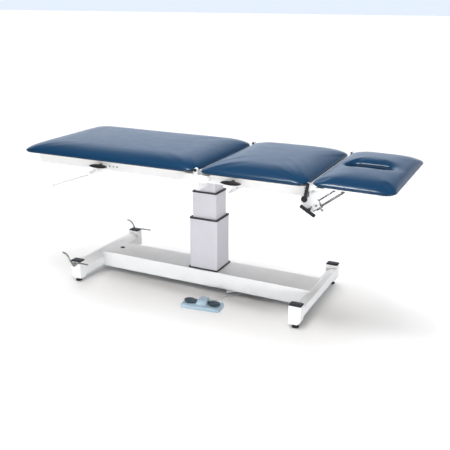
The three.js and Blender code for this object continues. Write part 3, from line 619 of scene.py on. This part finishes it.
def paddle(section, side):
    node = f"{section}_release_paddle_{side}"
    low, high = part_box(node)
    away = -1 if side == "left" else 1
    outer = low.y if away < 0 else high.y
    inner = outer - away * 20 * MM
    centre = middle(node)
    hub_from = Vector((centre.x, away * 310 * MM, centre.z))
    hub_to = Vector((centre.x, inner + away * 2 * MM, centre.z))
    shape = Shape().across(wing_outline(node), min(outer, inner), max(outer, inner), 4.5)
    shape.bar(hub_from, hub_to, 9, 1.5)
    face = Vector((centre.x, outer - away * 1.5 * MM, centre.z))
    shape.turned(face, face + Vector((0, away * 1.4 * MM, 0)), [(0, 7), (0.6, 6.6), (1, 5.4)])
    shape.finish(f"{section}_paddle_{side}", "black_plastic", f"{section}_release", [node])


for section in ("leg", "back"):
    for side in ("left", "right"):
        paddle(section, side)
    rod_node = f"{section}_cross_rod"
    low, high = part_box(rod_node)
    centre = middle(rod_node)
    left_end = Vector((centre.x, low.y, centre.z))
    right_end = Vector((centre.x, high.y, centre.z))
    cross_rod = Shape().bar(left_end, right_end, 7, 1.5)
    cross_rod.finish(f"{section}_rod", "white_powder_coat", f"{section}_section", [rod_node])


def release_shaft(section, at, extra=None):
    left, right = place(at[0], -339, at[1]), place(at[0], 339, at[1])
    shape = Shape().bar(left, right, 6, 0.8)
    finger = []
    for i in range(24):
        angle = 2 * math.pi * i / 24
        drop = 0 if math.sin(angle) > 0 else -30
        p = place(at[0] + 8 * math.cos(angle), 0, at[1] + 8 * math.sin(angle) + drop)
        finger.append((p.x, p.z))
    shape.across(finger, 22 * MM, 28 * MM, 1)
    if extra:
        extra(shape)
    shape.finish(
        f"{section}_shaft", "white_powder_coat", f"{section}_release",
        [f"{section}_release_shaft"],
    )


def lever_rod(shape):
    """The long bent lever with a ball end."""
    y = -200
    top = place(-438, y, 666)
    elbow = place(-443, y, 629)
    tip = place(-842, y, 485)
    into = (elbow - top).normalized()
    out = (tip - elbow).normalized()
    bend = 14 * MM
    start, end = elbow - into * bend, elbow + out * bend
    path = [top, top.lerp(start, 0.5)]
    for step in range(9):
        t = step / 8
        path.append(start.lerp(elbow, t).lerp(elbow.lerp(end, t), t))
    path += [end.lerp(tip, 0.5), tip]
    section = [
        (4.8 * math.cos(2 * math.pi * k / 20), 4.8 * math.sin(2 * math.pi * k / 20))
        for k in range(20)
    ]
    shape.swept(path, section)
    neck, crown = tip - out * 7.8 * MM, tip + out * 7.8 * MM
    profile = [(0.5 - 0.5 * math.cos(a), 8 * math.sin(a)) for a in
               (math.pi * i / 12 for i in range(1, 12))]
    shape.turned(neck, crown, profile, 24)


release_shaft("leg", (-438, 666), lever_rod)
release_shaft("back", (280, 667))


# ---- gas springs ----
def gas_spring(section, foot, top, body_length):
    foot_point, top_point = place(foot[0], 0, foot[1]), place(top[0], 0, top[1])
    along = (top_point - foot_point).normalized()

    def at(distance):
        return foot_point + along * distance * MM

    reach = (top_point - foot_point).length / MM
    tube = Shape().turned(
        at(12), at(body_length),
        [(0, 9), (0.01, 11.4), (0.02, 12), (0.93, 12), (0.945, 11.2), (0.96, 12), (0.985, 12),
         (1, 10.5), (1, 5.4), (0.9, 5.4)],
    )
    tube.bar(foot_point - Vector((0, 10 * MM, 0)), foot_point + Vector((0, 10 * MM, 0)), 11, 1)
    tube.finish(
        f"{section}_spring_tube", "black_steel", f"{section}_spring_cylinder",
        [f"{section}_gas_spring_cylinder"],
    )
    head = reach - 12
    piston = Shape().bar(at(body_length - 75), at(head - 10), 4.6, 0.5)
    piston.turned(at(head - 26), at(head), [(0, 8), (0.08, 11), (0.5, 11), (0.55, 9.5), (0.6, 11),
                                            (0.95, 11), (1, 9.5)])
    piston.finish(
        f"{section}_spring_piston", "bright_steel", f"{section}_spring_rod",
        [f"{section}_gas_spring_rod"],
    )


gas_spring("leg", (-100, 595), (-496, 624), 230)
gas_spring("back", (102, 586), (271, 618), 125)

# ---- head strut, clamp and handle ----
CLAMP = place(672, -293, 608)
STRUT_TOP = place(763, -293, 678)
SPREAD = 13  # the tube's and the rod's distance from the strut's middle line, in millimetres
along = (STRUT_TOP - CLAMP).normalized()
across = Vector((-along.z, 0, along.x))
reach = (STRUT_TOP - CLAMP).length / MM


def strut_point(distance, offset):
    return CLAMP + along * distance * MM + across * offset * MM


strut = Shape().bar(strut_point(-34, -SPREAD), strut_point(reach + 14, -SPREAD), 5, 0.8)
eye = strut_point(reach, 0)
strut.bar(eye - Vector((0, 8.7 * MM, 0)), eye + Vector((0, 7.7 * MM, 0)), 5, 0.6)
level = Vector((25 * MM, 0, 0))
strut.bar(eye - level, eye + level, 3, 0.6)
strut.finish("strut_tube", "zinc_plate", "head_strut", ["head_strut_tube"])
slim = Shape().bar(strut_point(-22, SPREAD), strut_point(reach - 18, SPREAD), 3.6, 0.6)
slim.finish("strut_rod", "bright_steel", "head_strut", ["head_strut_rod"])

HANDLE_ANGLE = -0.53
spindle = place(645, -343, 590)
bar_direction = Vector((math.cos(HANDLE_ANGLE), 0, math.sin(HANDLE_ANGLE)))
grip_profile = [(0, 4.6), (0.02, 7), (0.06, 8)]
for i in range(7):  # shallow ribs along the grip
    grip_profile += [(0.1 + i * 0.12, 8), (0.12 + i * 0.12, 7.2), (0.14 + i * 0.12, 8)]
grip_profile += [(0.94, 8), (0.98, 7), (1, 4.6)]
handle = Shape().turned(
    spindle - bar_direction * 39 * MM, spindle + bar_direction * 39 * MM, grip_profile
)
handle.bar(place(645, -346, 590), place(645, -325, 590), 9, 1.5)
handle.bar(place(645, -326, 590), place(645, -298, 590), 4, 0.6)
handle.finish("clamp_grip", "black_plastic", "clamp_handle", ["clamp_handle"])

cap_low, cap_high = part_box("bracket_tube_cap")
cap_at = middle("bracket_tube_cap")
cap = Shape().turned(
    Vector((cap_at.x, cap_high.y, cap_at.z)), Vector((cap_at.x, cap_low.y, cap_at.z)),
    [(0, 13), (0.1, 14), (0.75, 14), (0.95, 12.6), (1, 11), (0.93, 8.5), (0.86, 7.5), (0.86, 2)],
    40,
)
cap.finish("tube_cap", "black_plastic", "back_section", ["bracket_tube_cap"])

# ---- hinge pins and fixings ----
HINGE = (101, 707)
for side, away in (("left", -1), ("right", 1)):
    pin = Shape().bar(place(HINGE[0], away * 317, HINGE[1]), place(HINGE[0], away * 340, HINGE[1]), 5)
    pin.turned(
        place(HINGE[0], away * 339.5, HINGE[1]), place(HINGE[0], away * 343, HINGE[1]),
        [(0, 8), (0.6, 8), (0.9, 6.8), (1, 5.5), (0.85, 4.6), (0.85, 1)],
    )
    pin.finish(f"hinge_pin_{side}", "black_steel", "carriage", [f"section_hinge_pin_{side}"])


def screw(name, at, away, body, radius=4.2):
    """A button-head screw with a round recess, standing on a face that looks along away."""
    head = Shape().turned(
        at, at + away * 2.6 * MM,
        [(0, radius), (0.35, radius), (0.8, radius * 0.8), (1, radius * 0.5), (0.5, radius * 0.42),
         (0.5, radius * 0.1)],
        24,
    )
    head.finish(name, "zinc_plate", body)


LEFT = Vector((0, -1, 0))
for i, x in enumerate((-392, -371, -350)):
    screw(f"rail_screw_{i}", place(x, -305, 664), LEFT, "leg_section")
for i, (x, z) in enumerate(((652, 600), (618, 668), (618, 680))):
    screw(f"bracket_screw_{i}", place(x, -311, z), LEFT, "back_section", 3.2)

# ---- feet, post caps and plug ----
for end in ("foot", "head"):
    for side in ("left", "right"):
        node = f"levelling_foot_{end}_{side}"
        centre = middle(node)
        base, top = Vector((centre.x, centre.y, 0)), Vector((centre.x, centre.y, 36 * MM))
        foot = Shape().turned(
            base, top,
            [(0, 15), (0.02, 16.6), (0.05, 17), (0.12, 17), (0.16, 16), (0.22, 11), (0.31, 8),
             (0.54, 8), (0.542, 5), (1, 5)],
            40,
        )
        foot.finish(f"foot_{end}_{side}", "black_rubber", "base", [node])
        node = f"post_cap_{end}_{side}"
        low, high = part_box(node)
        centre = (low + high) / 2
        half_x, half_y = (high.x - low.x) / 2, (high.y - low.y) / 2
        layers = [(high.z - 20 * MM, 0.8, 4), (high.z - 6 * MM, 0.8, 4), (high.z - 5.7 * MM, 1, 5)]
        layers += [(high.z - 3 * MM, 1, 6), (high.z - 1.2 * MM, 0.975, 7), (high.z, 0.9, 7)]
        stack = [
            (z, rounded_outline(centre, half_x * f, half_y * f, r * MM)) for z, f, r in layers
        ]
        Shape().upright(stack).finish(f"cap_{end}_{side}", "black_plastic", "base", [node])

plug_low, plug_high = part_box("spine_plug")
plug_at = middle("spine_plug")
plug = Shape().turned(
    Vector((plug_at.x, plug_at.y, plug_low.z)), Vector((plug_at.x, plug_at.y, plug_high.z)),
    [(0, 10), (0.79, 10), (0.8, 13), (0.88, 13), (0.96, 12), (1, 10), (0.98, 4)],
    40,
)
plug.finish("plug", "black_plastic", "base", ["spine_plug"])

# ---- foot levers ----
for side, away in (("left", -1), ("right", 1)):
    y = away * 310
    swan = [(-652, 98), (-672, 108), (-684, 130), (-700, 150), (-724, 157)]
    upper = smooth_path([place(x, y, z) for x, z in swan], 6)
    heel = smooth_path(
        [place(x, y, z) for x, z in ((-652, 98), (-636, 106), (-622, 112), (-600, 113), (-562, 114))],
        6,
    )
    lever = Shape()
    for path, thick in ((upper, 4.2), (heel, 3.6)):
        section = [
            (3 * math.copysign(abs(math.cos(a)) ** 0.5, math.cos(a)),
             thick * math.copysign(abs(math.sin(a)) ** 0.5, math.sin(a)))
            for a in (2 * math.pi * k / 20 for k in range(20))
        ]
        lever.swept(path, section)
    lever.bar(place(-652, away * 302.3, 98), place(-652, away * 316, 98), 11, 1.5)
    lever.finish(f"lever_{side}", "zinc_plate", f"foot_lever_{side}", [f"foot_lever_{side}"])

# ---- floor switch ----
SWITCH_AT = place(101, -279, 0)
SWITCH_SPIN = math.radians(6.2)


def on_switch(x, y):
    """A point of the switch's own plan, in mm, as frame (x, y)."""
    c, s = math.cos(SWITCH_SPIN), math.sin(SWITCH_SPIN)
    return (SWITCH_AT.x + (x * c - y * s) * MM, SWITCH_AT.y + (x * s + y * c) * MM)


def switch_layer(z, half_x, half_y, radius, shift=0.0):
    centre = on_switch(0, shift)
    return (z * MM, rounded_outline(centre, half_x * MM, half_y * MM, radius * MM, SWITCH_SPIN))


housing = Shape().upright([
    switch_layer(0, 99, 44, 13), switch_layer(1.2, 101.2, 46.2, 15.2), switch_layer(3, 102, 47, 16),
    switch_layer(10, 102, 47, 16), switch_layer(13, 101, 46, 15.5), switch_layer(15.6, 98.4, 43.4, 14),
    switch_layer(17, 95, 40, 12), switch_layer(17, 60, 20, 8),
])
housing.upright([
    switch_layer(14, 29, 36, 13, 10), switch_layer(18, 28, 35, 13, 10),
    switch_layer(26, 27, 33.5, 13, 10.5), switch_layer(31, 25.2, 30, 13, 12.5),
    switch_layer(35, 22.5, 25.5, 13, 15.5), switch_layer(37.4, 18, 20, 12, 17.5),
    switch_layer(38, 12, 14, 9, 18),
])
housing.finish("switch_housing", "switch_blue_plastic", "base", ["floor_switch_housing"])

for name, side in (("lower", -1), ("raise", 1)):
    rings = []
    for z, grow in ((23, -3.5), (24, -1), (26.5, 0), (29, -0.4), (30.6, -2.2), (31, -4.5),
                    (30.6, -7), (30.2, -12)):
        ring = []
        for k in range(48):
            a = 2 * math.pi * k / 48
            ring.append(on_switch(
                side * 64 + (30 + grow) * math.cos(a), -2 + (23 + grow) * math.sin(a)))
        rings.append((z * MM, ring))
    pedal = Shape().upright(rings)
    x_in, x_out = on_switch(side * 26.6, 0), on_switch(side * 45, 0)
    pedal.bar(Vector((*x_in, 27 * MM)), Vector((*x_out, 27 * MM)), 3, 0.4)
    neck = [
        (z * MM, rounded_outline(on_switch(side * 37, 0), 8 * MM, 8 * MM, 2 * MM, SWITCH_SPIN))
        for z in (23.4, 30.4)
    ]
    pedal.upright(neck)
    pedal.finish(f"pedal_{name}_pad", "slate_rubber", f"pedal_{name}",
                 [f"floor_switch_pedal_{name}"])

# ---- stage ----
FLOOR = 60
floor_mesh = bpy.data.meshes.new("floor")
floor_mesh.from_pydata(
    [(-FLOOR, -FLOOR, 0), (FLOOR, -FLOOR, 0), (FLOOR, FLOOR, 0), (-FLOOR, FLOOR, 0)],
    [], [(0, 1, 2, 3)],
)
floor = bpy.data.objects.new("floor", floor_mesh)
pale = Surface("pale_floor", (0.93, 0.93, 0.93), 0.7)
pale.mottled(0.8, 0.99, 1.01)
floor_mesh.materials.append(pale.material)
bpy.context.scene.collection.objects.link(floor)
floor.visible_glossy = False

# A dim room with a bright backdrop behind the table, seen only in grazing reflections.
world = bpy.data.worlds.new("studio")
world.use_nodes = True
world_nodes, world_links = world.node_tree.nodes, world.node_tree.links
direction = world_nodes.new("ShaderNodeTexCoord").outputs["Generated"]
towards = world_nodes.new("ShaderNodeVectorMath")
towards.operation = "DOT_PRODUCT"
towards.inputs[1].default_value = (-0.6, 0.78, -0.3)
ramp = world_nodes.new("ShaderNodeValToRGB")
world_links.new(direction, towards.inputs[0])
world_links.new(towards.outputs["Value"], ramp.inputs["Fac"])
# Round the horizon the room is pale on all sides, like the floor that it meets.
height = world_nodes.new("ShaderNodeSeparateXYZ")
raised = world_nodes.new("ShaderNodeMapRange")
raised.inputs["From Min"].default_value = -0.1
raised.inputs["From Max"].default_value = 0.9
horizon = world_nodes.new("ShaderNodeValToRGB")
stops = horizon.color_ramp.elements
stops[1].position, stops[1].color = 0.4, (0, 0, 0, 1)
for at in (0.04, 0.32):
    stops.new(at).color = (0.72, 0.72, 0.72, 1)
blend = world_nodes.new("ShaderNodeMix")
blend.data_type = "RGBA"
blend.blend_type = "LIGHTEN"
blend.inputs["Factor"].default_value = 1
world_links.new(direction, height.inputs["Vector"])
world_links.new(height.outputs["Z"], raised.inputs["Value"])
world_links.new(raised.outputs["Result"], horizon.inputs["Fac"])
world_links.new(ramp.outputs["Color"], blend.inputs["A"])
world_links.new(horizon.outputs["Color"], blend.inputs["B"])
world_links.new(blend.outputs["Result"], world_nodes["Background"].inputs["Color"])
ramp.color_ramp.elements[0].position = 0.55
ramp.color_ramp.elements[0].color = (0.09, 0.095, 0.1, 1)
ramp.color_ramp.elements[1].position = 0.76
ramp.color_ramp.elements[1].color = (0.80, 0.88, 1, 1)
world_nodes["Background"].inputs["Strength"].default_value = 1.0
bpy.context.scene.world = world


def softbox(name, location, target, width, height, power, spread=180):
    light = bpy.data.lights.new(name, "AREA")
    light.spread = math.radians(spread)
    light.shape = "RECTANGLE"
    light.size, light.size_y, light.energy = width, height, power
    lamp = bpy.data.objects.new(name, light)
    lamp.location = location
    lamp.rotation_euler = (Vector(target) - Vector(location)).to_track_quat("-Z", "Y").to_euler()
    bpy.context.scene.collection.objects.link(lamp)


softbox("key", (-1.4, -4.6, 1.9), (0, 0, 0.6), 3.6, 0.7, 14)
softbox("low", (-0.4, -4.6, 0.12), (0, 0, 0.12), 3.4, 0.2, 3.6, spread=22)
softbox("fill", (4.2, -2.2, 0.5), (0.5, 0, 0.15), 1.8, 0.5, 7, spread=50)
softbox("crown", (0.06, -0.9, 2.98), (0.72, -0.32, 0.72), 0.8, 0.45, 30)

# An even top light over the whole floor, left out of reflections.
sun_data = bpy.data.lights.new("top", "SUN")
sun_data.energy = 3.3
sun_data.angle = math.radians(70)
sun = bpy.data.objects.new("top", sun_data)
sun.rotation_euler = (math.radians(-16), math.radians(-8), 0)
sun.visible_glossy = False
bpy.context.scene.collection.objects.link(sun)
bpy.context.scene.view_settings.view_transform = "Standard"
